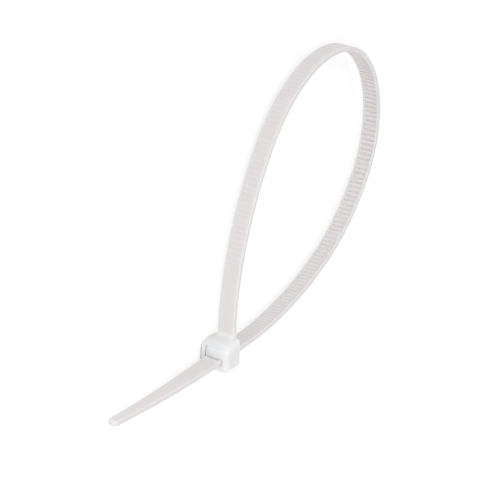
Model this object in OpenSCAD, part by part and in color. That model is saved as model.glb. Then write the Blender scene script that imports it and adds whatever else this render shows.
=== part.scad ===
// One-piece nylon cable tie, closed into a large loop, its tail left long.
// It lies on its side: the loop is flat, and the head's side wall is its foot.
// The tail points along -X, the strap leaves the head along +Y, and Z is up.
// The origin is the middle of the head's lower side. Lengths are in millimetres.

/* [Strap] */
// Width of the strap
strap_w = 4.8; // [4:0.1:6]
// Thickness of the strap, from its smooth face to the tips of its teeth
strap_t = 1.35; // [1.2:0.05:1.7]
// Chamfer on the strap's four long edges
edge_cut = 0.2; // [0.1:0.05:0.4]
// Width of the plain rail on each side of the teeth
rail_w = 0.6; // [0.5:0.05:0.9]

/* [Teeth] */
// Distance from one tooth to the next
tooth_pitch = 1.4; // [1.2:0.05:1.8]
// Depth of the gap between two teeth
tooth_depth = 0.5; // [0.4:0.05:0.6]
// Flat tip of a tooth
tooth_land = 0.35; // [0.3:0.05:0.5]
// Length of smooth strap between the head and the first tooth
smooth_neck = 18.3; // [12:0.1:30]
// Length of toothed strap that stands out of the head toward the tail
toothed_out = 6.5; // [3:0.1:12]

/* [Head] */
// Length of the head along the passing strap
head_h = 7.2; // [6.8:0.1:9]
// How far the head stands proud of the toothed face of its own strap
head_proud = 0.1; // [0.05:0.05:0.5]
// Thickness of the wall that the strap grows from
root_wall = 1.3; // [1.1:0.1:2]
// Thickness of the wall that backs the passing strap
back_wall = 2.3; // [1.6:0.1:3]
// Thickness of each side wall
side_wall = 1.65; // [1.2:0.05:2.2]
// Radius of the big corner at the outer end of the root wall
brow_r = 2.6; // [1:0.1:3.2]
// Radius of the two corners that run along the root wall, beside the strap's root
cheek_r = 2; // [1:0.1:2.4]
// Radius of the corner between the root wall and the toothed face of the strap
inner_r = 0.5; // [0.3:0.1:0.6]
// Radius of the head's other corners
corner_r = 1.2; // [0.4:0.1:1.5]
// Size of the chamfer on the window where the strap comes in
lead_in = 0.6; // [0.3:0.1:1]
// Radius of the fillet between the strap's smooth face and the head
root_fillet = 1.4; // [0.5:0.1:1.8]

/* [Pawl] */
// Thickness of the pawl's tongue, without its teeth
pawl_t = 2; // [1.4:0.1:2.2]
// How far the tongue reaches past its last tooth
pawl_nose = 0.6; // [0.2:0.1:0.6]
// Gap at each side of the tongue in the window
pawl_play = 0.4; // [0.2:0.1:0.8]
// Chamfer at both ends of the tongue
tongue_cut = 0.15; // [0.1:0.05:0.4]
// Thickness of the hinge that carries the tongue
hinge_t = 1; // [0.7:0.1:1.2]
// Free space behind the tongue, into which it gives way
flex_gap = 0.5; // [0.4:0.1:1.2]
// Number of teeth on the pawl
pawl_teeth = 3; // [2:1:3]
// Gap between the passing strap and what it slides on
fit_gap = 0.1; // [0.05:0.05:0.15]
// Gap at each side of the passing strap, and at each side of the pawl's teeth in their track
side_gap = 0.2; // [0.1:0.05:0.4]

/* [Loop] */
// Straight strap at the head, before the first bend
neck_run = 2.3; // [2:0.1:8]
// Radius of the long rise from the head
rise_r = 80; // [70:1:90]
// Turn of the long rise, in degrees
rise_turn = 35; // [30:1:38]
// Radius of the shoulder
shoulder_r = 40; // [35:1:46]
// Turn of the shoulder, in degrees
shoulder_turn = 32; // [28:1:36]
// Radius of the crown of the loop
crown_r = 35; // [31:1:40]
// Turn of the crown, in degrees
crown_turn = 34; // [30:1:38]
// Radius where the strap leaves the tight bend
foot_r = 50; // [45:1:55]
// Turn of that stretch, in degrees
foot_turn = 32; // [28:1:35]
// Radius of the last bend before the head
return_r = 100; // [90:1:108]
// Turn of the last bend, in degrees
return_turn = 23; // [20:1:26]

/* [Tail] */
// Length of the tail outside the head
tail_len = 47.3; // [40:0.1:60]
// Length of full width between the head and the taper
tail_full = 7.3; // [4:0.1:12]
// Width at the tip
tip_w = 2.6; // [2:0.1:3.5]
// Radius of the round end of the tip
tip_r = 1.5; // [1.4:0.1:3]
// Radius of the slight curl of the tail
tail_r = 450; // [300:10:900]

/* [Hidden] */
$fn = 96;
nylon = [0.91, 0.90, 0.89];
// Steps of a full turn in a bend, and how far a cutting shape reaches past what it cuts
bend_fn = 360;
spare = 1;

// Places across the head, from the middle line of its own strap and from its root end
head_in = strap_t / 2 + head_proud;
head_out = head_in - head_h;
head_w = strap_w + 2 * (side_gap + side_wall);
pass_y = -(root_wall + flex_gap + pawl_t + fit_gap + strap_t / 2);
window_back = pass_y - strap_t / 2 - fit_gap;
window_w = strap_w + 2 * side_gap;
head_l = back_wall - window_back;
track_w = strap_w - 2 * rail_w;
pawl_w = window_w - 2 * pawl_play;
mid_z = head_w / 2;

// The tight bend takes the turn that is left, and the radius that brings the strap to its window
side_turn = 270 - rise_turn - shoulder_turn - crown_turn - foot_turn - return_turn;
side_start = 90 - rise_turn - shoulder_turn - crown_turn;
function climb(r, from, turn) = r * (cos(from - turn) - cos(from));
open_climb = neck_run
    + climb(rise_r, 90, rise_turn)
    + climb(shoulder_r, 90 - rise_turn, shoulder_turn)
    + climb(crown_r, side_start + crown_turn, crown_turn)
    + climb(foot_r, side_start - side_turn, foot_turn)
    + climb(return_r, return_turn - 180, return_turn);
side_r = (pass_y - open_climb) / climb(1, side_start, side_turn);

// Bends in order from the head: radius and turn, always to the strap's right
bends = [
    [rise_r, rise_turn],
    [shoulder_r, shoulder_turn],
    [crown_r, crown_turn],
    [side_r, side_turn],
    [foot_r, foot_turn],
    [return_r, return_turn]
];
bend_count = len(bends);

// Heading and place of the strap's middle line at the start of each bend
function heading(k) = k == 0 ? 90 : heading(k - 1) - bends[k - 1][1];
function bent(at, head, r, turn) =
    at + r * [sin(head) - sin(head - turn), cos(head - turn) - cos(head)];
function place(k) = k == 0
    ? [0, neck_run]
    : bent(place(k - 1), heading(k - 1), bends[k - 1][0], bends[k - 1][1]);

// Length along the strap at the start of each bend, and at the marks behind the last one
function arc_len(r, turn) = r * turn * PI / 180;
function arc_turn(r, run) = run / r * 180 / PI;
function run_to(k) = k == 0 ? neck_run : run_to(k - 1) + arc_len(bends[k - 1][0], bends[k - 1][1]);
run_at = run_to(bend_count);
root_line = run_at + place(bend_count)[0];
head_exit = root_line - head_out;
through_run = head_exit - run_at;
tail_turn = arc_turn(tail_r, tail_len);

// Where a point of the strap lies: s along it from the head, n toward the toothed side
function beside(at, head, n) = at + n * [sin(head), -cos(head)];
function on_arc(at, head, r, run, n) =
    beside(bent(at, head, r, arc_turn(r, run)), head - arc_turn(r, run), n);
function bend_of(s, k = 0) = k < bend_count - 1 && s > run_to(k + 1) ? bend_of(s, k + 1) : k;
function on_bend(s, n, k) = on_arc(place(k), heading(k), bends[k][0], s - run_to(k), n);
function on_strap(s, n) =
    s < run_at ? on_bend(s, n, bend_of(s))
    : s < head_exit ? [root_line - s, pass_y + n]
    : on_arc([head_out, pass_y], -180, tail_r, s - head_exit, n);

// Tooth gap i has a ramp on the head's side of it and a steep wall toward the tip
tooth_run = tooth_pitch - tooth_land;
cut_over = 0.1;
function wall_at(i) = smooth_neck + (i + 1) * tooth_pitch;
function gap_before(s) = floor((s - smooth_neck) / tooth_pitch) - 1;
last_gap = gap_before(head_exit + toothed_out);
function gap_points(i) = [
    on_strap(wall_at(i) - tooth_run * (1 + cut_over / tooth_depth), strap_t / 2 + cut_over),
    on_strap(wall_at(i), strap_t / 2 - tooth_depth),
    on_strap(wall_at(i), strap_t / 2 + cut_over)
];

// A flat shape in X and Y as a plate of width w, in the middle of the head's width
module across(w) {
    translate([0, 0, mid_z - w / 2])
        linear_extrude(w)
            children();
}

// The strap's section with its broken edges: thickness along X, width along Y
module section() {
    x = strap_t / 2;
    y = strap_w / 2;
    flat_x = x - edge_cut;
    flat_y = y - edge_cut;
    polygon([
        [-x, -flat_y], [-flat_x, -y], [flat_x, -y], [x, -flat_y],
        [x, flat_y], [flat_x, y], [-flat_x, y], [-x, flat_y]
    ]);
}

// A straight piece of strap along +Y from the origin
module straight(run) {
    rotate([90, 0, 180])
        linear_extrude(run)
            section();
}

// A bend of strap from the origin along +Y, turning right, run on a little past its end
module bend(r, turn) {
    translate([r, 0, 0])
        mirror([1, 0, 0])
            rotate_extrude(angle = turn + arc_turn(r, strap_t / 2), $fn = bend_fn)
                translate([r, 0])
                    section();
}

// Turns what follows back, so that the end of a bend comes to the origin and heads along +Y
module end_here(r, turn) {
    translate([r, 0, 0])
        rotate(turn)
            translate([-r, 0, 0])
                children();
}

// All the strap before piece k, ending square at the origin along +Y
module strap_to(k) {
    if (k == 0) {
        mirror([0, 1, 0])
            straight(neck_run + root_wall / 2);
    } else {
        difference() {
            end_here(bends[k - 1][0], bends[k - 1][1]) {
                strap_to(k - 1);
                bend(bends[k - 1][0], bends[k - 1][1]);
            }
            translate([-strap_t, 0, -strap_w])
                cube([2 * strap_t, strap_t, 2 * strap_w]);
        }
    }
}

// The strap from its root, round the loop, straight through the window and on to the tip
module strap() {
    translate([root_line - run_at, pass_y, mid_z])
        rotate(90) {
            strap_to(bend_count);
            straight(through_run);
            translate([0, through_run, 0])
                tail();
        }
}

// The tail curls a little, narrows to its tip and ends round
module tail() {
    tip = bent([0, 0], 90, tail_r, tail_turn);
    intersection() {
        bend(tail_r, tail_turn);
        rotate([0, 90, 0])
            linear_extrude(4 * tip[0] + 4 * strap_t, center = true)
                tail_outline(tip[1]);
    }
}

// Outline of the tail's width, seen square to its face: it runs along +Y to the tip
module tail_outline(tip_y) {
    intersection() {
        polygon([
            [-strap_w, -spare],
            [-strap_w, tail_full - spare],
            [-strap_w / 2, tail_full],
            [-tip_w / 2, tip_y],
            [tip_w / 2, tip_y],
            [strap_w / 2, tail_full],
            [strap_w, tail_full - spare],
            [strap_w, -spare]
        ]);
        union() {
            translate([0, tip_y - tip_r])
                circle(tip_r);
            translate([-2 * strap_w, -2 * spare])
                square([4 * strap_w, tip_y - tip_r + 2 * spare]);
        }
    }
}

// The tooth gaps with numbers from first to last, as one comb to cut away
module comb(first, last) {
    across(track_w)
        polygon(concat(
            [for (i = [first : last]) each gap_points(i)],
            [for (i = [last : -1 : first]) on_strap(wall_at(i), strap_t)]
        ));
}

// What is taken off a corner at the origin that points away from +X+Y
module corner_off(r) {
    difference() {
        translate([-spare, -spare])
            square(r + spare);
        translate([r, r])
            circle(r);
    }
}

// A rectangle with rounded corners; the radii go clockwise from the upper left corner
module rounded(low, high, radii) {
    difference() {
        translate(low)
            square(high - low);
        translate([low[0], high[1]])
            mirror([0, 1])
                corner_off(radii[0]);
        translate(high)
            rotate(180)
                corner_off(radii[1]);
        translate([high[0], low[1]])
            mirror([1, 0])
                corner_off(radii[2]);
        translate(low)
            corner_off(radii[3]);
    }
}

// The head's block: its outlines from the side, from its outer face and from its root end
module head_block() {
    intersection() {
        linear_extrude(head_w)
            rounded([head_out, -head_l], [head_in, 0], [brow_r, inner_r, corner_r, corner_r]);
        translate([head_out, 0, 0])
            rotate([90, 0, 90])
                linear_extrude(head_h)
                    rounded([-head_l, 0], [0, head_w], [corner_r, cheek_r, cheek_r, corner_r]);
        rotate([90, 0, 0])
            linear_extrude(head_l)
                rounded([head_out, 0], [head_in, head_w], [corner_r, corner_r, corner_r, corner_r]);
    }
}

// Fillet that blends the strap's smooth face into the head
module root_blend() {
    across(strap_w - 2 * edge_cut)
        translate([-strap_t / 2 - root_fillet, 0])
            difference() {
                translate([0, -root_wall / 2])
                    square([root_fillet + edge_cut, root_fillet + root_wall / 2]);
                translate([0, root_fillet])
                    circle(root_fillet);
            }
}

// The window that the strap passes through, with a chamfer where the strap comes in
module window() {
    across(window_w)
        polygon([
            [head_out - spare, window_back],
            [head_in - lead_in, window_back],
            [head_in + spare, window_back - lead_in - spare],
            [head_in + spare, -root_wall],
            [head_out - spare, -root_wall]
        ]);
}

// The pawl: a tongue hinged on the root wall near the way in, its teeth in the strap's gaps
module pawl() {
    tongue_y = pass_y + strap_t / 2 + fit_gap;
    tongue_top = tongue_y + pawl_t;
    tooth_h = tooth_depth - fit_gap;
    hinge_x = head_in - hinge_t / 2;
    last = gap_before(head_exit - hinge_t / 2);
    function wall_x(i) = root_line - wall_at(i) + fit_gap;
    function foot_x(i) = wall_x(i) + tooth_run * tooth_h / tooth_depth;
    tip_x = wall_x(last) - pawl_nose;
    across(pawl_w)
        polygon([
            [tip_x, tongue_y],
            [tip_x, tongue_top - tongue_cut],
            [tip_x + tongue_cut, tongue_top],
            [hinge_x - hinge_t, tongue_top],
            [hinge_x - hinge_t, -root_wall / 2],
            [hinge_x, -root_wall / 2],
            [hinge_x, tongue_y + tongue_cut],
            [hinge_x - tongue_cut, tongue_y]
        ]);
    across(track_w - 2 * side_gap)
        for (i = [last - pawl_teeth + 1 : last])
            polygon([
                [foot_x(i), tongue_y],
                [wall_x(i), tongue_y - tooth_h],
                [wall_x(i), tongue_y + tooth_h],
                [foot_x(i), tongue_y + tooth_h]
            ]);
}

// The tie is moulded in one piece: head, pawl, strap and tail
module cable_tie() {
    color(nylon)
        translate([-(head_in + head_out) / 2, head_l / 2, 0]) {
            difference() {
                strap();
                comb(0, last_gap);
            }
            difference() {
                head_block();
                window();
            }
            pawl();
            root_blend();
        }
}

cable_tie();
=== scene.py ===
# %% [markdown]
# # A closed nylon cable tie
# A cable tie is moulded in one shot: a square head with a window and a sprung
# pawl, a strap with a row of ramp-shaped teeth on one face, and a narrowing
# tail. Here the strap has been pushed through its own head, so it makes a
# loop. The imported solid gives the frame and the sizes; this script makes the
# version that is looked at, with rounded edges and a milky plastic.

import math

import bmesh
import bpy
from mathutils import Matrix, Vector


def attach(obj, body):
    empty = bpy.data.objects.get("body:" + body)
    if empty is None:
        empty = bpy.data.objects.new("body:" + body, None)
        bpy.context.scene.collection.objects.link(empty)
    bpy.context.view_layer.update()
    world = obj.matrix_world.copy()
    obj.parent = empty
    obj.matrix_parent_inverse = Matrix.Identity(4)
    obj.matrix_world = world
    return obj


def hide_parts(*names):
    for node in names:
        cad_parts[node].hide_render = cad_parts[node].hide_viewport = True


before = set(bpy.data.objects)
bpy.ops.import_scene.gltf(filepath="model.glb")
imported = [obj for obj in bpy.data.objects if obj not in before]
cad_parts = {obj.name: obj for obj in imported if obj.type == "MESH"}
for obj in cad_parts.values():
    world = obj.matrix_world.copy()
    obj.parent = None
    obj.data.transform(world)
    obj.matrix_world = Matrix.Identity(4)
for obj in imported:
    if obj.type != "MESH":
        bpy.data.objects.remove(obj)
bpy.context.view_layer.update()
MM = 0.001

# %% [markdown]
# ## The head's walls
# The sizes are the named values of the solid, in millimetres. Keeping the
# same names makes it easy to see that both models are the same object. The
# head's walls come first, since they say where its window is, and the whole
# loop has to meet that window. In the head's own axes the strap leaves along
# Y from the origin, and the strap that comes back passes through along X.

# %% Sizes of the strap's section and of the head's walls, in millimetres
STRAP_W = 4.8
STRAP_T = 1.35
# The head, along the strap that passes through it, and past its own strap's teeth
HEAD_H = 7.2
HEAD_PROUD = 0.1
ROOT_WALL = 1.3
BACK_WALL = 2.3
SIDE_WALL = 1.65
# The pawl lies between the root wall and the passing strap, with room to give way
PAWL_T = 2.0
FLEX_GAP = 0.5
# Play of the passing strap: on its two faces, and at each of its edges
FIT_GAP = 0.1
SIDE_GAP = 0.2

HEAD_IN = STRAP_T / 2 + HEAD_PROUD
HEAD_OUT = HEAD_IN - HEAD_H
HEAD_W = STRAP_W + 2 * (SIDE_GAP + SIDE_WALL)
PASS_Y = -(ROOT_WALL + FLEX_GAP + PAWL_T + FIT_GAP + STRAP_T / 2)
WINDOW_BACK = PASS_Y - STRAP_T / 2 - FIT_GAP
WINDOW_W = STRAP_W + 2 * SIDE_GAP
HEAD_L = BACK_WALL - WINDOW_BACK
# From the head's own axes to the part's frame
SHIFT = Vector((-(HEAD_IN + HEAD_OUT) / 2, HEAD_L / 2, HEAD_W / 2))
print(f"head {HEAD_H} x {HEAD_L:.2f} x {HEAD_W:.2f} mm, window {WINDOW_W:.1f} mm wide")

# %% [markdown]
# ## The bends of the loop
# The strap is written as a walk: straight, then six bends that all turn the
# same way, then straight through the head, then the slight curl of the tail.
# Five of the bends are given by their radius and their turn. The tight one
# among them is worked out, so that the walk comes back square to where it
# began and runs right into the window.

# %% Bends: radius in millimetres and turn in degrees
NECK_RUN = 2.3
BENDS = [(80, 35), (40, 32), (35, 34), None, (50, 32), (100, 23)]
TIGHT = BENDS.index(None)


def climb(radius, start, turn):
    """How far a bend climbs, from its heading at the start and its turn to the right."""
    return radius * (math.cos(math.radians(start - turn)) - math.cos(math.radians(start)))


# The tight bend takes the turn that is left, and the radius that meets the window
side_turn = 270 - sum(bend[1] for bend in BENDS if bend)
headings = [90]
for bend in BENDS:
    headings.append(headings[-1] - (bend[1] if bend else side_turn))
open_climb = NECK_RUN + sum(
    climb(bend[0], headings[i], bend[1]) for i, bend in enumerate(BENDS) if bend
)
side_r = (PASS_Y - open_climb) / climb(1, headings[TIGHT], side_turn)
BENDS[TIGHT] = (side_r, side_turn)
print(f"tight bend: radius {side_r:.2f} mm over {side_turn} degrees")

# %% [markdown]
# ## The camera
# The camera comes early, because every later choice is judged through it.
# The angles and the distance were worked out from the outlines of the strap
# in the photograph. The loop lies flat here, so what was up in the
# photograph is +Y, and the camera is rolled to keep the same picture.

# %% Camera
PHI = math.radians(60.651)
LIFT = math.radians(23.744)
ROLL = math.radians(3.117)
SLIDE_X, SLIDE_Y, DISTANCE = -3.411, -24.584, 588.26
FOCAL_PX, FRAME_PX, SENSOR = 2284.1, 480, 36

side = Vector((-math.sin(PHI), 0, math.cos(PHI)))
across = Vector((math.cos(PHI), 0, math.sin(PHI)))
toward = side * math.cos(LIFT) + Vector((0, 1, 0)) * math.sin(LIFT)
upward = Vector((0, 1, 0)) * math.cos(LIFT) - side * math.sin(LIFT)
right = across * math.cos(ROLL) + upward * math.sin(ROLL)
top = upward * math.cos(ROLL) - across * math.sin(ROLL)
place = (toward * DISTANCE - right * SLIDE_X - top * SLIDE_Y + SHIFT) * MM

camera = bpy.data.objects.new("camera", bpy.data.cameras.new("camera"))
camera.data.sensor_width = SENSOR
camera.data.lens = SENSOR * FOCAL_PX / FRAME_PX
camera.data.clip_start = 0.01
camera.matrix_world = Matrix((
    (right.x, top.x, toward.x, place.x),
    (right.y, top.y, toward.y, place.y),
    (right.z, top.z, toward.z, place.z),
    (0, 0, 0, 1),
))
bpy.context.scene.collection.objects.link(camera)
bpy.context.scene.camera = camera
print("camera at", [round(c, 4) for c in place], "lens", round(camera.data.lens, 1))

# %% [markdown]
# ## Node trees as Python
# Both the plastic and the strap are node trees. A wire in a tree is wrapped
# in a small class, so that `1 - mask` or `a * b + c` adds the Math nodes by
# itself. Every other node comes from one method, which takes the node's
# type, its settings and the values of its sockets.


# %% A wire
class Wire:
    """One output of a node, which can be used in sums."""

    def __init__(self, socket, tree):
        self.socket = socket
        self.tree = tree

    def math(self, operation, other=None, swap=False):
        pair = [self] if other is None else [other, self] if swap else [self, other]
        return self.tree.node("ShaderNodeMath", dict(enumerate(pair)), operation=operation)

    def __add__(self, other):
        return self.math("ADD", other)

    def __radd__(self, other):
        return self.math("ADD", other, True)

    def __sub__(self, other):
        return self.math("SUBTRACT", other)

    def __rsub__(self, other):
        return self.math("SUBTRACT", other, True)

    def __mul__(self, other):
        return self.math("MULTIPLY", other)

    def __rmul__(self, other):
        return self.math("MULTIPLY", other, True)

    def __truediv__(self, other):
        return self.math("DIVIDE", other)

    def __rtruediv__(self, other):
        return self.math("DIVIDE", other, True)

    def at_least(self, other):
        return self.math("MAXIMUM", other)

    def at_most(self, other):
        return self.math("MINIMUM", other)

    def above(self, other):
        return self.math("GREATER_THAN", other)

    def below(self, other):
        return self.math("LESS_THAN", other)

    def root(self):
        return self.at_least(0).math("SQRT")

    def floor(self):
        return self.math("FLOOR")


# %% A tree
class Tree:
    """A node tree that is written as expressions."""

    def __init__(self, tree):
        self.tree = tree

    def node(self, kind, inputs=None, out=0, **settings):
        made = self.tree.nodes.new(kind)
        for name, value in settings.items():
            setattr(made, name, value)
        for key, value in (inputs or {}).items():
            self.feed(made.inputs[key], value)
        return Wire(made.outputs[out], self) if made.outputs else made

    def feed(self, socket, value):
        if isinstance(value, Wire):
            self.tree.links.new(value.socket, socket)
        else:
            socket.default_value = value


def empty_tree(owner):
    """Gives a material or a world a node tree with nothing in it."""
    owner.use_nodes = True
    owner.node_tree.nodes.clear()
    return Tree(owner.node_tree)


# %% [markdown]
# ## The plastic
# Unfilled nylon lets light in, scatters it and lets it out again a little
# way off. That is why it looks milky and why its shadows are soft. The
# Principled shader's subsurface part does this. Light and shade are also
# painted into the colour: the thick head is painted lighter than the strap,
# as more plastic behind a spot looks whiter, and where the teeth's gaps thin
# the strap they show through its smooth face as a faint painted shade. Two
# attributes of the mesh say where. A very slight cloudiness breaks the
# evenness, and the fine satin of a sandblasted mould is drawn by noise in the
# roughness and the bump.

# %% Noise in the nylon
CLOUD_SCALE, GRAIN_SCALE = 90.0, 2600.0

nylon = bpy.data.materials.new("natural_nylon")
t = empty_tree(nylon)
spot = t.node("ShaderNodeTexCoord", out="Object")
cloud = t.node(
    "ShaderNodeTexNoise", {"Vector": spot, "Scale": CLOUD_SCALE, "Detail": 3.0}, out="Fac",
)
grain = t.node(
    "ShaderNodeTexNoise", {"Vector": spot, "Scale": GRAIN_SCALE, "Detail": 4.0}, out="Fac",
)
print(f"clouds of about {1 / CLOUD_SCALE / MM:.0f} mm, grain of about {1 / GRAIN_SCALE / MM:.1f} mm")

# %% Colour of the nylon
# The strap's colour and the head's are lit and shaded copies of one nylon: the head is painted
# lighter than the strap. The third colour is cloudiness the nylon really has, and the last one is a
# painted shade where the teeth show through the strap.
STRAP_PAINTED_SHADE_MILK = (0.77, 0.757, 0.76)
HEAD_PAINTED_LIGHT_MILK = (0.985, 0.975, 0.965)
CLOUD_MILK = (0.84, 0.825, 0.82)
SEE_THROUGH_PAINTED_SHADE = (0.72, 0.71, 0.71)
CLOUD_SHOWS, SEE_THROUGH_SHADE_SHOWS = 0.25, 0.5
# The colour sockets of a Mix node share their names with others, so they go by number
COLOUR_A, COLOUR_B, COLOUR_OUT = 6, 7, 2


def blend(factor, low, high):
    """Mixes two colours, each of them a wire or three numbers."""
    pair = [c if isinstance(c, Wire) else (*c, 1) for c in (low, high)]
    sockets = {"Factor": factor, COLOUR_A: pair[0], COLOUR_B: pair[1]}
    return t.node("ShaderNodeMix", sockets, out=COLOUR_OUT, data_type="RGBA")


# Attributes that say where the teeth show through as painted shade, and where the head is painted
# lighter
see_through_shade = t.node("ShaderNodeAttribute", out="Fac", attribute_name="see_through_shade")
thick = t.node("ShaderNodeAttribute", out="Fac", attribute_name="thick")
# The head painted lighter than the strap, then the real cloudiness on top
body = blend(thick, STRAP_PAINTED_SHADE_MILK, HEAD_PAINTED_LIGHT_MILK)
cloud_and_painted_head_light = blend(cloud * CLOUD_SHOWS, body, CLOUD_MILK)
# Painted shade where the teeth show through the strap's smooth face
seen = blend(see_through_shade * SEE_THROUGH_SHADE_SHOWS, cloud_and_painted_head_light, SEE_THROUGH_PAINTED_SHADE)
print("nylon's colour takes", len(nylon.node_tree.nodes), "nodes")

# %% Surface of the nylon
SATIN, SATIN_SPREAD = 0.34, 0.14
GRAIN_PART, CLOUD_PART = 0.7, 0.3
NYLON_IOR = 1.53

relief = t.node("ShaderNodeBump", {
    "Height": grain * GRAIN_PART + cloud * CLOUD_PART, "Strength": 0.12, "Distance": 0.0001,
})
shader = t.node("ShaderNodeBsdfPrincipled", {
    "Base Color": seen,
    "Roughness": SATIN + grain * SATIN_SPREAD,
    "IOR": NYLON_IOR,
    "Subsurface Weight": 1.0,
    "Subsurface Radius": (1.0, 0.93, 0.88),
    "Subsurface Scale": 0.0015,
    "Normal": relief,
}, subsurface_method="RANDOM_WALK")
t.node("ShaderNodeOutputMaterial", {"Surface": shader})
print("nylon has", len(nylon.node_tree.nodes), "nodes")

# %% [markdown]
# ## The path of the strap
# The strap follows one line, so the line is made first, as a curve of many
# short chords. Its points are at most a quarter of a millimetre apart, so
# short that even on the tight bend no chord leaves the true arc by as much
# as half a micrometre.

# %% Path
STEP = 0.25
# The path starts this far inside the head
ROOT_IN = 1.0
TAIL_LEN, TAIL_R = 47.3, 450
# The tip stops this far inside the solid's
TIP_TRIM = 0.07


def walk(line, heading, length, radius=None):
    """Adds a stretch of the middle line; a bend turns right. Gives the new heading."""
    count = max(2, math.ceil(length / STEP))
    x, y = line[-1]
    for i in range(1, count + 1):
        run = length * i / count
        if radius is None:
            line.append((x + run * math.cos(heading), y + run * math.sin(heading)))
        else:
            now = heading - run / radius
            line.append((
                x + radius * (math.sin(heading) - math.sin(now)),
                y + radius * (math.cos(now) - math.cos(heading)),
            ))
    return heading - (length / radius if radius else 0)


line = [(0, -ROOT_IN)]
heading = walk(line, math.pi / 2, ROOT_IN + NECK_RUN)
run_at = NECK_RUN
for radius, turn in BENDS:
    arc = radius * math.radians(turn)
    heading = walk(line, heading, arc, radius)
    run_at += arc
root_line = run_at + line[-1][0]
head_exit = root_line - HEAD_OUT
heading = walk(line, heading, head_exit - run_at)
walk(line, heading, TAIL_LEN, TAIL_R)
length = head_exit + TAIL_LEN - TIP_TRIM
print(f"strap {length:.1f} mm from the head to the tip, path of {len(line)} points")

# %% The path as a curve
spline_data = bpy.data.curves.new("path", "CURVE")
spline_data.dimensions = "3D"
spline = spline_data.splines.new("POLY")
spline.points.add(len(line) - 1)
for point, (x, y) in zip(spline.points, line):
    point.co = (*((Vector((x, y, 0)) + SHIFT) * MM), 1)
print("curve of", len(spline.points), "points")

# %% [markdown]
# ## The strap as a rule
# The strap is one long sheet of rows and columns that is closed round its
# own section. A row is a place along the path, a column is a place round the
# section. Geometry Nodes suit this: a Grid gives the rows and columns, and
# Set Position sends each of its points to its place by a rule. Eight rows
# make one tooth: a flat land, a ramp down, the bottom, and a steep wall. The
# same eight rows run on over the smooth neck and tail with no depth. A few
# rows more at each end make the flare at the head and the round tip.

# %% The rows of one tooth
PITCH, DEPTH, LAND = 1.4, 0.5, 0.35
RUN = PITCH - LAND
# How far each crest and foot of a tooth is softened
SOFT = 0.06
# The wall leans by this much, and the ramp ends a little above the full depth
LEAN, NEARLY = 0.02, 0.985
# Each row: distance from the wall at the end of its tooth, and depth there
ROWS = [
    (SOFT - PITCH + LEAN, 0.0),
    (-RUN - SOFT, 0.0),
    (-RUN + SOFT, DEPTH * SOFT / RUN),
    (-RUN / 2, DEPTH / 2),
    (-2 * SOFT, DEPTH * (1 - 2 * SOFT / RUN)),
    (-SOFT / 2, DEPTH * NEARLY),
    (0.0, DEPTH - SOFT),
    (LEAN, SOFT),
]
print(f"tooth of {PITCH} mm: land {LAND} mm, ramp {RUN:.2f} mm, {DEPTH} mm deep")

# %% The columns of the section
EDGE_R, RAIL_W = 0.2, 0.6
TRACK_W = STRAP_W - 2 * RAIL_W
# The smooth face stays this far inside the solid
INSIDE = 0.02
# The painted shade of the teeth showing through is full up to the first of these inside the track's
# edge, and none past the second
SHADE_FULL_IN, SHADE_NONE_OUT = 0.25, 0.1
# From the rail down into the track: distance outside its edge, and share of the depth
TRACK_SIDE = [(SOFT, 0), (0, 0.12), (-0.03, 0.9), (-0.12, 1)]


def section():
    """Columns round the section, each with four values: across the thickness,
    across the width, share of the depth and share of the painted shade where the teeth show through."""
    thick, wide, track = STRAP_T / 2, STRAP_W / 2, TRACK_W / 2
    smooth = INSIDE - thick
    # From the middle of the smooth face to the middle of the toothed face
    half = [(smooth, track - SHADE_FULL_IN, 0, 1), (smooth, track + SHADE_NONE_OUT, 0, 0)]
    for face, outward, angles in ((smooth, 1, range(0, 91, 30)), (thick, -1, range(90, -1, -30))):
        for angle in angles:
            a = math.radians(angle)
            inset = EDGE_R * (1 - math.cos(a))
            half.append((face + outward * inset, wide - EDGE_R * (1 - math.sin(a)), 0, 0))
    half += [(thick, track + out, share, 0) for out, share in TRACK_SIDE]
    return [(u, -v, share, see_through_shade_share) for u, v, share, see_through_shade_share in half] + half[::-1]


COLUMNS = section()
print(len(COLUMNS), "columns round the section")

# %% How many teeth and rows the strap takes
SMOOTH_NECK, TOOTHED_OUT = 18.3, 6.5
ROOT_FILLET = 1.4
TIP_R = 1.5
ROOT_ROWS, TIP_ROWS = 11, 15

FIRST_WALL = SMOOTH_NECK + PITCH
LAST_TOOTH = math.floor((head_exit + TOOTHED_OUT - SMOOTH_NECK) / PITCH) - 1
LEAD_TEETH = math.floor((FIRST_WALL - ROOT_FILLET) / PITCH)
TIP_START = length - TIP_R
ALL_TEETH = LEAD_TEETH + math.ceil((TIP_START - FIRST_WALL) / PITCH) + 1
print(ALL_TEETH, "teeth and blank teeth; last tooth", LAST_TOOTH)

# %% [markdown]
# ## The tree's inputs
# Each size of the strap is a named input of the tree, so the tree can be used
# again for another tie: only the values on the modifier change. Two helpers
# save room: one picks a value from a list by a point's row or column, one
# chooses between two values.

# %% The tree and its inputs
SIDE_FILLET = 0.45
# How far past the head the strap keeps its width, and how wide it is at the tip
TAIL_FULL, TIP_W = 7.3, 2.6

sizes = {
    "Strap Width": STRAP_W, "Edge Radius": EDGE_R, "Thickness": STRAP_T,
    "Tooth Pitch": PITCH, "First Wall": FIRST_WALL, "Root Inside": ROOT_IN,
    "Root Fillet": ROOT_FILLET, "Side Fillet": SIDE_FILLET, "Length": length,
    "Full Width Ends": head_exit + TAIL_FULL, "Tip Width": TIP_W, "Tip Radius": TIP_R,
}
counts = {"Lead Teeth": LEAD_TEETH, "All Teeth": ALL_TEETH, "Last Tooth": LAST_TOOTH}

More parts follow.
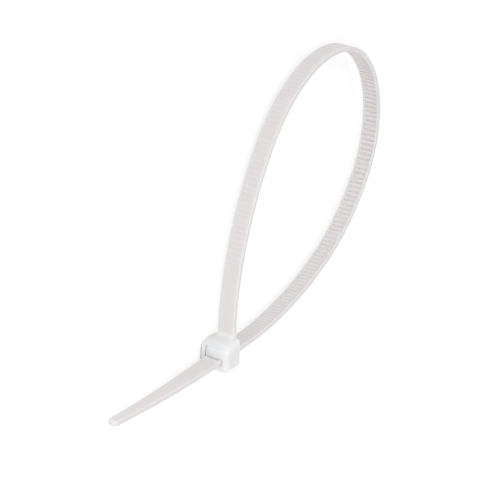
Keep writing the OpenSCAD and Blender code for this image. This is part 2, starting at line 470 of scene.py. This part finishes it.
tree = bpy.data.node_groups.new("strap_by_rule", "GeometryNodeTree")
face = tree.interface
face.new_socket("Path", in_out="INPUT", socket_type="NodeSocketGeometry")
for name in sizes:
    face.new_socket(name, in_out="INPUT", socket_type="NodeSocketFloat")
for name in counts:
    face.new_socket(name, in_out="INPUT", socket_type="NodeSocketInt")
face.new_socket("Material", in_out="INPUT", socket_type="NodeSocketMaterial")
face.new_socket("Strap", in_out="OUTPUT", socket_type="NodeSocketGeometry")

t = Tree(tree)
entry = tree.nodes.new("NodeGroupInput")
get = {name: Wire(entry.outputs[name], t) for name in ["Path", "Material", *sizes, *counts]}
print("strap tree has", len(get), "inputs")


# %% Helpers for the tree
def pick(index, values):
    """The value at a place in a list."""
    switch = tree.nodes.new("GeometryNodeIndexSwitch")
    switch.data_type = "FLOAT"
    while len(switch.index_switch_items) < len(values):
        switch.index_switch_items.new()
    t.feed(switch.inputs["Index"], index)
    for i, value in enumerate(values):
        switch.inputs[i + 1].default_value = value
    return Wire(switch.outputs[0], t)


def choose(test, no, yes):
    sockets = {"Switch": test, "False": no, "True": yes}
    return t.node("GeometryNodeSwitch", sockets, input_type="FLOAT")


# %% [markdown]
# ## From a point's number to its row and column
# The Grid numbers its points row after row, so a division gives the row and
# what is left over gives the column. The last column is folded on to the
# first, which closes the section. The row then says which tooth a point
# belongs to, and which of the eight rows of that tooth it is.

# %% Row, column, tooth
# Whole numbers are told apart at HALF, and NUDGE keeps a division from falling short of one
HALF, NUDGE = 0.5, 0.0001

columns = len(COLUMNS)
tooth_rows = get["All Teeth"] * len(ROWS)
row_count = tooth_rows + (ROOT_ROWS + TIP_ROWS)
grid = t.node("GeometryNodeMeshGrid", {
    "Size X": 1.0, "Size Y": 1.0, "Vertices X": row_count, "Vertices Y": columns + 1,
}, out="Mesh")
index = t.node("GeometryNodeInputIndex")
row = (index / (columns + 1) + NUDGE).floor()
column = index - row * (columns + 1)
column = column - column.above(columns - HALF) * columns

step = row - ROOT_ROWS
tooth = (step / len(ROWS) + NUDGE).floor()
phase = step - tooth * len(ROWS)
number = tooth - get["Lead Teeth"]
phase = phase.at_least(0).at_most(len(ROWS) - 1)
toothed = number.above(-HALF) * number.below(get["Last Tooth"] + HALF) * step.above(-HALF)
depth = pick(phase, [r[1] for r in ROWS]) * toothed
print("row, column and tooth:", len(tree.nodes), "nodes so far")

# %% [markdown]
# ## The place along the path
# The wall of each tooth is one pitch on from the last, and its eight rows lie
# at their distances from it. Rows that would run past the flare or the tip
# are held at its edge, where the mesh merges them. The rows of the flare and
# of the tip are spaced by angle, because both are arcs.

# %% Distance along the path
tip_start = get["Length"] - get["Tip Radius"]
along = get["First Wall"] + number * get["Tooth Pitch"] + pick(phase, [r[0] for r in ROWS])
along = along.at_most(tip_start).at_least(get["Root Fillet"])
angle = (row - 1).at_least(0) * (math.pi / 2 / (ROOT_ROWS - 1))
root = get["Root Fillet"] * (1 - angle.math("COSINE")) - row.below(HALF) * get["Root Inside"]
angle = (step - tooth_rows + 1) * (math.pi / 2 / TIP_ROWS)
tip = tip_start + get["Tip Radius"] * angle.math("SINE")
along = choose(row.below(ROOT_ROWS - HALF), along, root)
along = choose(step.above(tooth_rows - HALF), along, tip)
print("and the distance along the path:", len(tree.nodes), "nodes so far")

# %% [markdown]
# ## The section, its taper and its flare
# The section's columns say how far a point lies from the path, across the
# thickness and across the width. Past the head the width shrinks evenly to
# the tip, which ends in a half circle with a rounded rim. At the head the
# smooth face and the two edges flare out in a fillet, because a strap would
# tear at a sharp inner corner.

# %% Distances across the strap
thick = pick(column, [c[0] for c in COLUMNS])
wide = pick(column, [c[1] for c in COLUMNS])
depth_here = depth * pick(column, [c[2] for c in COLUMNS])
# Share of the painted shade where the teeth show through the smooth face
see_through_shade_share = depth / DEPTH * pick(column, [c[3] for c in COLUMNS])
gone = (along - get["Full Width Ends"]).at_least(0) / (get["Length"] - get["Full Width Ends"])
taper = get["Strap Width"] + gone * (get["Tip Width"] - get["Strap Width"])
past = (along - tip_start).at_least(0)
nose = (get["Tip Radius"] * get["Tip Radius"] - past * past).root() * 2
nose = nose + along.below(tip_start) * get["Strap Width"]
width = taper.at_most(nose) / get["Strap Width"]


def flare(radius):
    """How far a fillet of this radius stands out from the strap here."""
    left = (radius - along).at_least(0).at_most(radius)
    return radius - (radius * radius - left * left).root()


edge = get["Edge Radius"]
rim = (along - get["Length"] + edge).at_least(0).at_most(edge)
thin_end = edge - (edge * edge - rim * rim).root()
thick = thick * (1 - thin_end / get["Thickness"] * 2) - depth_here
thick = thick - thick.below(0) * flare(get["Root Fillet"])
wide = wide * (width + flare(get["Side Fillet"]) * 2 / get["Strap Width"])
print("and the distances across the strap:", len(tree.nodes), "nodes so far")

# %% [markdown]
# ## Every point takes its place
# Sample Curve gives the spot on the path and its direction there. The
# thickness goes square to that direction and the width goes along Z. The
# first row is drawn together in one point inside the head, and merging what
# touches closes the seam, the root and the tip, so the strap is one skin.

# %% Set the points
WELD = 0.000001

inside = row.above(HALF)
sample = t.node("GeometryNodeSampleCurve", {
    "Curves": get["Path"], "Length": (along + get["Root Inside"]) * MM,
}, out="Position", mode="LENGTH")
tangent = Wire(sample.socket.node.outputs["Tangent"], t)
normal = t.node("ShaderNodeVectorMath", {0: tangent, 1: (0, 0, 1)}, operation="CROSS_PRODUCT")
normal = t.node("ShaderNodeVectorMath", {0: normal}, operation="NORMALIZE")
offset = t.node("ShaderNodeVectorMath", {
    0: normal, "Scale": thick * inside * MM,
}, operation="SCALE")
sideways = t.node("ShaderNodeCombineXYZ", {"Z": wide * inside * MM})
spot = t.node("ShaderNodeVectorMath", {0: sample, 1: offset}, operation="ADD")
spot = t.node("ShaderNodeVectorMath", {0: spot, 1: sideways}, operation="ADD")
placed = t.node("GeometryNodeSetPosition", {"Geometry": grid, "Position": spot})
# Stores where the painted shade of the teeth shows through, for the plastic
marked = t.node("GeometryNodeStoreNamedAttribute", {
    "Geometry": placed, "Name": "see_through_shade", "Value": see_through_shade_share,
}, data_type="FLOAT", domain="POINT")
closed = t.node("GeometryNodeMergeByDistance", {"Geometry": marked, "Distance": WELD})
real = t.node("GeometryNodeRealizeInstances", {"Geometry": closed})
final = t.node("GeometryNodeSetMaterial", {"Geometry": real, "Material": get["Material"]})
t.node("NodeGroupOutput", {"Strap": final})
print("strap tree has", len(tree.nodes), "nodes")

# %% [markdown]
# ## From a modifier to a plain mesh
# The tree runs as a modifier on the path. A finished piece should be a plain
# mesh, so what the modifier makes is kept as a new mesh and the source goes.
# The mesh is then counted and measured: no edge may be open, and a volume
# above zero says that its faces point outwards.

# %% Helpers that keep and measure a mesh
SHARP_ABOVE = math.radians(30)


def keep_mesh(name, source):
    """Turns what the modifiers of source make into a plain piece, smooth but for its sharp edges."""
    bpy.context.view_layer.update()
    ready = source.evaluated_get(bpy.context.evaluated_depsgraph_get())
    mesh = bpy.data.meshes.new_from_object(ready)
    mesh.name = name
    mesh.shade_smooth()
    mesh.set_sharp_from_angle(angle=SHARP_ABOVE)
    bpy.data.objects.remove(source)
    piece = bpy.data.objects.new(name, mesh)
    bpy.context.scene.collection.objects.link(piece)
    return piece


def report(piece):
    """Prints a piece's size, its open edges and its volume."""
    shape = bmesh.new()
    shape.from_mesh(piece.data)
    open_edges = sum(not e.is_manifold for e in shape.edges)
    volume = shape.calc_volume(signed=True)
    shape.free()
    piece.data.calc_loop_triangles()
    count = len(piece.data.loop_triangles)
    print(f"{piece.name}: {count} triangles, {open_edges} open edges, {volume * 1e9:.1f} mm3")


# %% Run the strap's tree
source = bpy.data.objects.new("path", spline_data)
bpy.context.scene.collection.objects.link(source)
modifier = source.modifiers.new("strap", "NODES")
modifier.node_group = tree
values = {**sizes, **counts, "Material": nylon}
for item in tree.interface.items_tree:
    if item.in_out == "INPUT" and item.name in values:
        modifier[item.identifier] = values[item.name]
strap = keep_mesh("strap", source)
report(strap)

# %% [markdown]
# ## The head
# The head is a small block whose twelve edges are rounded by four different
# radii. It starts as a box with a grid of points on its faces, with more
# points near the edges, and then three passes look along X, Y and Z and pull
# what lies in a square corner into a quarter circle. A boolean cuts the
# window for the strap, and a last very small bevel breaks the window's rim,
# as a mould never leaves a knife edge.


# %% Helpers for solid shapes
def shape_object(name, shape):
    mesh = bpy.data.meshes.new(name)
    shape.to_mesh(mesh)
    shape.free()
    made = bpy.data.objects.new(name, mesh)
    bpy.context.scene.collection.objects.link(made)
    return made


def prism(outline, low, high):
    """A straight prism: an outline in X and Y, from low to high in Z, all in millimetres."""
    shape = bmesh.new()
    base = Vector((0, 0, low - HEAD_W / 2)) + SHIFT
    ring = [shape.verts.new((Vector((x, y, 0)) + base) * MM) for x, y in outline]
    face = shape.faces.new(ring)
    grown = bmesh.ops.extrude_face_region(shape, geom=[face])
    lifted = [v for v in grown["geom"] if isinstance(v, bmesh.types.BMVert)]
    bmesh.ops.translate(shape, verts=lifted, vec=(0, 0, (high - low) * MM))
    bmesh.ops.recalc_face_normals(shape, faces=shape.faces)
    return shape


def soften(shape, edges, radius, segments):
    bmesh.ops.bevel(
        shape, geom=list(edges), offset=radius * MM, offset_type="OFFSET", segments=segments,
        profile=0.5, affect="EDGES", clamp_overlap=True, miter_outer="SHARP",
    )


def combine(piece, operation, other):
    """Adds an exact boolean of piece with other."""
    modifier = piece.modifiers.new(other.name, "BOOLEAN")
    modifier.operation = operation
    modifier.solver = "EXACT"
    modifier.object = other


# %% The block's points
BROW_R, CHEEK_R, INNER_R, CORNER_R = 2.6, 2.0, 0.5, 1.2
# How many points a rounding gets, and how close two points may come
ARC_STEPS, CLOSEST = 7, 0.02
LOW, HIGH = (HEAD_OUT, -HEAD_L, 0.0), (HEAD_IN, 0.0, HEAD_W)


def marks(low, high, low_radii, high_radii):
    """Places along one side of the block: some for each radius at either end."""
    places = {low, high}
    for i in range(1, ARC_STEPS + 1):
        places |= {low + r * i / ARC_STEPS for r in low_radii}
        places |= {high - r * i / ARC_STEPS for r in high_radii}
    kept = []
    for place in sorted(places):
        if not kept or place - kept[-1] > CLOSEST:
            kept.append(place)
    return kept


SIDES = [
    marks(LOW[0], HIGH[0], (BROW_R, CORNER_R), (INNER_R, CORNER_R)),
    marks(LOW[1], HIGH[1], (CORNER_R,), (BROW_R, CHEEK_R)),
    marks(LOW[2], HIGH[2], (CHEEK_R, CORNER_R), (CHEEK_R, CORNER_R)),
]
print("points along the head's sides:", [len(places) for places in SIDES])

# %% The block's roundings
# For each pair of axes, the radius at (low, low), (low, high), (high, low) and (high, high)
ROUNDINGS = [
    (0, 1, (CORNER_R, BROW_R, CORNER_R, INNER_R)),
    (0, 2, (CORNER_R, CORNER_R, CORNER_R, CORNER_R)),
    (1, 2, (CORNER_R, CORNER_R, CHEEK_R, CHEEK_R)),
]
INWARD = [(1, 1), (1, -1), (-1, 1), (-1, -1)]


def pull_in(point, i, j, corner, inward, radius):
    """Pulls a point near a square corner, seen along the third axis, into a quarter circle."""
    a = radius - (point[i] - corner[0]) * inward[0]
    b = radius - (point[j] - corner[1]) * inward[1]
    if a > 0 and b > 0:
        round_a = a * math.sqrt(1 - (b / radius) ** 2 / 2)
        round_b = b * math.sqrt(1 - (a / radius) ** 2 / 2)
        point[i] = corner[0] + inward[0] * (radius - round_a)
        point[j] = corner[1] + inward[1] * (radius - round_b)


def rounded(point):
    """Where a point of the square block comes to lie, in the part's frame."""
    placed = list(point)
    for i, j, radii in ROUNDINGS:
        corners = [(LOW[i], LOW[j]), (LOW[i], HIGH[j]), (HIGH[i], LOW[j]), (HIGH[i], HIGH[j])]
        for corner, inward, radius in zip(corners, INWARD, radii):
            pull_in(placed, i, j, corner, inward, radius)
    return (Vector(placed) - Vector((0, 0, HEAD_W / 2)) + SHIFT) * MM


# %% Head block
def head_shape():
    shape = bmesh.new()
    made = {}
    for flat in range(3):
        i, j = [axis for axis in range(3) if axis != flat]
        for level in (LOW[flat], HIGH[flat]):
            for a0, a1 in zip(SIDES[i], SIDES[i][1:]):
                for b0, b1 in zip(SIDES[j], SIDES[j][1:]):
                    ring = []
                    for a, b in ((a0, b0), (a1, b0), (a1, b1), (a0, b1)):
                        point = [level] * 3
                        point[i], point[j] = a, b
                        point = tuple(point)
                        if point not in made:
                            made[point] = shape.verts.new(rounded(point))
                        ring.append(made[point])
                    shape.faces.new(ring)
    bmesh.ops.recalc_face_normals(shape, faces=shape.faces)
    return shape


head_block = shape_object("head", head_shape())
report(head_block)

# %% Window
LEAD_IN = 0.6
# How far the cutter stands out of the head
STAND_OUT = 1
# At the strap's near edge the gap is only a hair here, because none shows in the photograph
NEAR_GAP = 0.03
NEAR_WALL = (HEAD_W + STRAP_W) / 2 + NEAR_GAP

cutter = shape_object("window", prism([
    (HEAD_OUT - STAND_OUT, WINDOW_BACK),
    (HEAD_IN - LEAD_IN, WINDOW_BACK),
    (HEAD_IN + STAND_OUT, WINDOW_BACK - LEAD_IN - STAND_OUT),
    (HEAD_IN + STAND_OUT, -ROOT_WALL),
    (HEAD_OUT - STAND_OUT, -ROOT_WALL),
], (HEAD_W - WINDOW_W) / 2, NEAR_WALL))
combine(head_block, "DIFFERENCE", cutter)
head = keep_mesh("head", head_block)
bpy.data.objects.remove(cutter)
report(head)

# %% Rim of the window
BREAK_R, BREAK_SEGMENTS = 0.06, 2
RIM_ABOVE = math.radians(40)
# An edge of the rim is a sharp one on a face that looks along the passing strap
FACING = 0.5

rim_shape = bmesh.new()
rim_shape.from_mesh(head.data)
rim_edges = [
    e for e in rim_shape.edges
    if e.calc_face_angle() > RIM_ABOVE and max(abs(f.normal.x) for f in e.link_faces) > FACING
]
soften(rim_shape, rim_edges, BREAK_R, BREAK_SEGMENTS)
rim_shape.to_mesh(head.data)
rim_shape.free()
report(head)

# %% [markdown]
# ## The pawl
# The pawl is the tongue inside the window. It hangs on a thin hinge at the
# side where the strap comes in, and its three teeth drop into the gaps
# between the strap's teeth, so the strap slides in and can't slide out. In
# the photograph no gap shows at the pawl's outer end, but for a dark line at
# its far side. So that end is drawn full here: its nose reaches up to the
# root wall and out to the rim, its lip hangs down to the strap, and the
# tongue leans on the near wall.

# %% Tongue of the pawl
PAWL_PLAY, TONGUE_CUT, HINGE_T = 0.4, 0.15, 1.0
# How far the nose rises, how far it stays inside the rim, and how far the lip hangs
NOSE_LIFT, NOSE_IN, LIP_DROP = 0.52, 0.04, 0.5
EDGES_ABOVE = math.radians(20)

tongue_y = PASS_Y + STRAP_T / 2 + FIT_GAP
hinge_x = HEAD_IN - HINGE_T / 2
tip_x = HEAD_OUT + NOSE_IN
tongue_top = tongue_y + PAWL_T
nose_top = tongue_top + NOSE_LIFT
tongue = [
    (tip_x, tongue_y - LIP_DROP),
    (tip_x, nose_top - TONGUE_CUT),
    (tip_x + TONGUE_CUT, nose_top),
    (tip_x + 2 * NOSE_LIFT, nose_top),
    (tip_x + 4 * NOSE_LIFT, tongue_top),
    (hinge_x - HINGE_T, tongue_top),
    (hinge_x - HINGE_T, -ROOT_WALL / 2),
    (hinge_x, -ROOT_WALL / 2),
    (hinge_x, tongue_y + TONGUE_CUT),
    (hinge_x - TONGUE_CUT, tongue_y),
    (tip_x + LIP_DROP, tongue_y),
]
pawl_shape = prism(tongue, (HEAD_W - WINDOW_W) / 2 + PAWL_PLAY, NEAR_WALL + 2 * NEAR_GAP)
pawl_edges = [e for e in pawl_shape.edges if e.calc_face_angle() > EDGES_ABOVE]
soften(pawl_shape, pawl_edges, BREAK_R, BREAK_SEGMENTS)
pawl = shape_object("pawl", pawl_shape)
report(pawl)

# %% Teeth of the pawl
PAWL_TEETH = 3
tooth_h = DEPTH - FIT_GAP
tooth_w = TRACK_W - 2 * SIDE_GAP
last = math.floor((head_exit - HINGE_T / 2 - SMOOTH_NECK) / PITCH) - 1

for i in range(last - PAWL_TEETH + 1, last + 1):
    wall_x = root_line - (SMOOTH_NECK + (i + 1) * PITCH) + FIT_GAP
    ramp_x = wall_x + RUN * tooth_h / DEPTH
    tooth_object = shape_object("pawl_tooth", prism([
        (ramp_x, tongue_y),
        (wall_x, tongue_y - tooth_h),
        (wall_x, tongue_y + SOFT),
        (ramp_x, tongue_y + SOFT),
    ], (HEAD_W - tooth_w) / 2, (HEAD_W + tooth_w) / 2))
    combine(pawl, "UNION", tooth_object)
    pawl = keep_mesh("pawl", pawl)
    bpy.data.objects.remove(tooth_object)
report(pawl)

# %% [markdown]
# ## One moulding
# The three shapes overlap, but light that has entered one of them can't
# cross into the next. The real tie is one moulding, so two booleans join
# the shapes into one closed skin before it gets its finish.

# %% Join the shapes
for other in (head, pawl):
    combine(strap, "UNION", other)
tie = keep_mesh("tie", strap)
for other in (head, pawl):
    bpy.data.objects.remove(other)
tie.data.materials.clear()
tie.data.materials.append(nylon)
report(tie)

# %% [markdown]
# ## Where the head is painted lighter
# The plastic paints the head lighter than the strap, by a mark of one in the
# head and none in the strap. It is set here by place, because a boolean keeps
# the attributes of its first mesh only. The mark fades out over a short way where the strap leaves
# the head.

# %% Mark the head, which the plastic paints lighter
FADE = 1.5

centre = (Vector((0, 0, -HEAD_W / 2)) + SHIFT) * MM
low, high = Vector(LOW) * MM + centre, Vector(HIGH) * MM + centre
lit_head_share = []
for vertex in tie.data.vertices:
    away = max(max(low[i] - vertex.co[i], vertex.co[i] - high[i]) for i in range(3))
    lit_head_share.append(min(1.0, max(0.0, 1 - away / (FADE * MM))))
tie.data.attributes.new("thick", "FLOAT", "POINT").data.foreach_set("value", lit_head_share)
print(sum(m > 0 for m in lit_head_share), "of", len(lit_head_share), "points marked as thick")

# %% Say what the piece rides on and what it stands for
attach(tie, "root")
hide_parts("cable_tie")
print("tie rides on root, in slot nylon, in place of cable_tie")

# %% [markdown]
# ## The floor
# The photograph has a white background. The floor is a pale matt sheet that
# keeps the shadow; what the camera sees of it is lifted to white by a little
# emission that lights nothing else. It lies a hair's breadth lower than the
# head's underside, so that the two faces don't fight over one place.

# %% Floor
FLOOR_REACH, FLOOR_DROP = 3.0, 0.02
PAPER_GREY, PAPER_GLOW = 0.9, 0.3

floor_mesh = bpy.data.meshes.new("floor")
corners = [(-1, -1), (1, -1), (1, 1), (-1, 1)]
floor_mesh.from_pydata(
    [(x * FLOOR_REACH, y * FLOOR_REACH, -FLOOR_DROP * MM) for x, y in corners], [], [(0, 1, 2, 3)],
)
floor = bpy.data.objects.new("floor", floor_mesh)
bpy.context.scene.collection.objects.link(floor)

paper = bpy.data.materials.new("white_paper")
t = empty_tree(paper)
matt = t.node("ShaderNodeBsdfDiffuse", {"Color": (PAPER_GREY, PAPER_GREY, PAPER_GREY, 1)})
glow = t.node("ShaderNodeEmission", {"Color": (1, 1, 1, 1), "Strength": PAPER_GLOW})
both = t.node("ShaderNodeAddShader", {0: matt, 1: glow})
camera_ray = t.node("ShaderNodeLightPath", out="Is Camera Ray")
sheet = t.node("ShaderNodeMixShader", {"Fac": camera_ray, 1: matt, 2: both})
t.node("ShaderNodeOutputMaterial", {"Surface": sheet})
floor_mesh.materials.append(paper)
print("floor of", 2 * FLOOR_REACH, "m,", len(paper.node_tree.nodes), "nodes of paper")

# %% [markdown]
# ## The light
# The photograph has very soft light from all round. The world gives it: a
# sky near white that is a little stronger from +Y, the photograph's top, and
# a little weaker from straight above. The camera itself sees plain white.
# One large soft lamp adds a direction, and with it the slight shading that
# tells the strap's faces apart.

# %% World
SKY, SKY_MORE_NORTH, SKY_LESS_ABOVE = 0.89, 0.2, 0.2

world = bpy.data.worlds.new("studio")
bpy.context.scene.world = world
t = empty_tree(world)
camera_ray = t.node("ShaderNodeLightPath", out="Is Camera Ray")
way = t.node("ShaderNodeTexCoord", out="Generated")
north = t.node("ShaderNodeSeparateXYZ", {0: way}, out="Y")
above = t.node("ShaderNodeSeparateXYZ", {0: way}, out="Z")
soft = SKY + north * SKY_MORE_NORTH - above * SKY_LESS_ABOVE
level = soft + camera_ray * (1 - soft)
sky = t.node("ShaderNodeBackground", {"Color": (1, 1, 1, 1), "Strength": level})
t.node("ShaderNodeOutputWorld", {"Surface": sky})
print("world has", len(world.node_tree.nodes), "nodes")

# %% Lamp
LAMP_PLACE = Vector((-0.38, 0.05, 0.3))
LAMP_AIM = Vector((0.0, 0.02, 0.0))
LAMP_SIZE, LAMP_WATTS = 0.35, 0.5

lamp = bpy.data.lights.new("key", "AREA")
lamp.shape = "DISK"
lamp.size = LAMP_SIZE
lamp.energy = LAMP_WATTS
holder = bpy.data.objects.new("key", lamp)
turned = (LAMP_PLACE - LAMP_AIM).to_track_quat("Z", "Y").to_matrix().to_4x4()
holder.matrix_world = Matrix.Translation(LAMP_PLACE) @ turned
bpy.context.scene.collection.objects.link(holder)
bpy.context.scene.view_settings.view_transform = "Standard"
